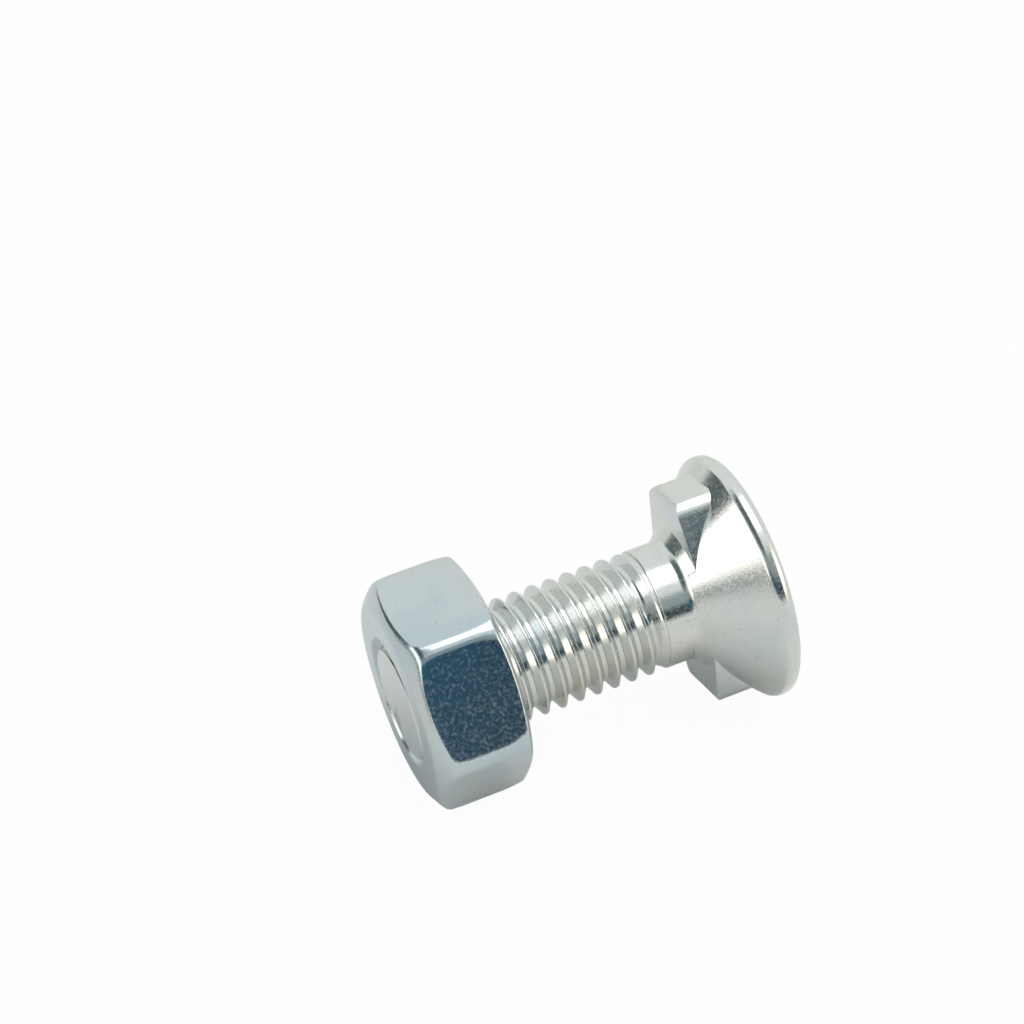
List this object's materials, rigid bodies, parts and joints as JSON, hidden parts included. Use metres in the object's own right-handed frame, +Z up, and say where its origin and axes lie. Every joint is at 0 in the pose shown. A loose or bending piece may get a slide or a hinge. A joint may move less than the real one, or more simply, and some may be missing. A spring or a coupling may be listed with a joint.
{
  "type": "plow bolt with hex nut",
  "caption": "Countersunk plow bolt with forged nibs under the head and a matching hex nut threaded onto its shank.",
  "frame": {"origin": "bottom centre of the bounding box, where the nut's flat and the head's rim touch the floor", "axes": "+X runs along the bolt from the threaded end towards the head; +Z points up, away from the floor"},
  "size_m": [0.031, 0.0202, 0.0202],
  "materials": {
    "zinc_steel": "zinc plated, satin"
  },
  "bodies": {
    "bolt": {"plow_bolt": "zinc_steel"},
    "nut": {"hex_nut": "zinc_steel"}
  },
  "joints": [
    {"name": "nut_travel", "type": "slide", "parent": "bolt", "child": "nut", "axis": [0.9984, 0, 0.0558], "range_m": [-0.006, 0.0105]}
  ]
}
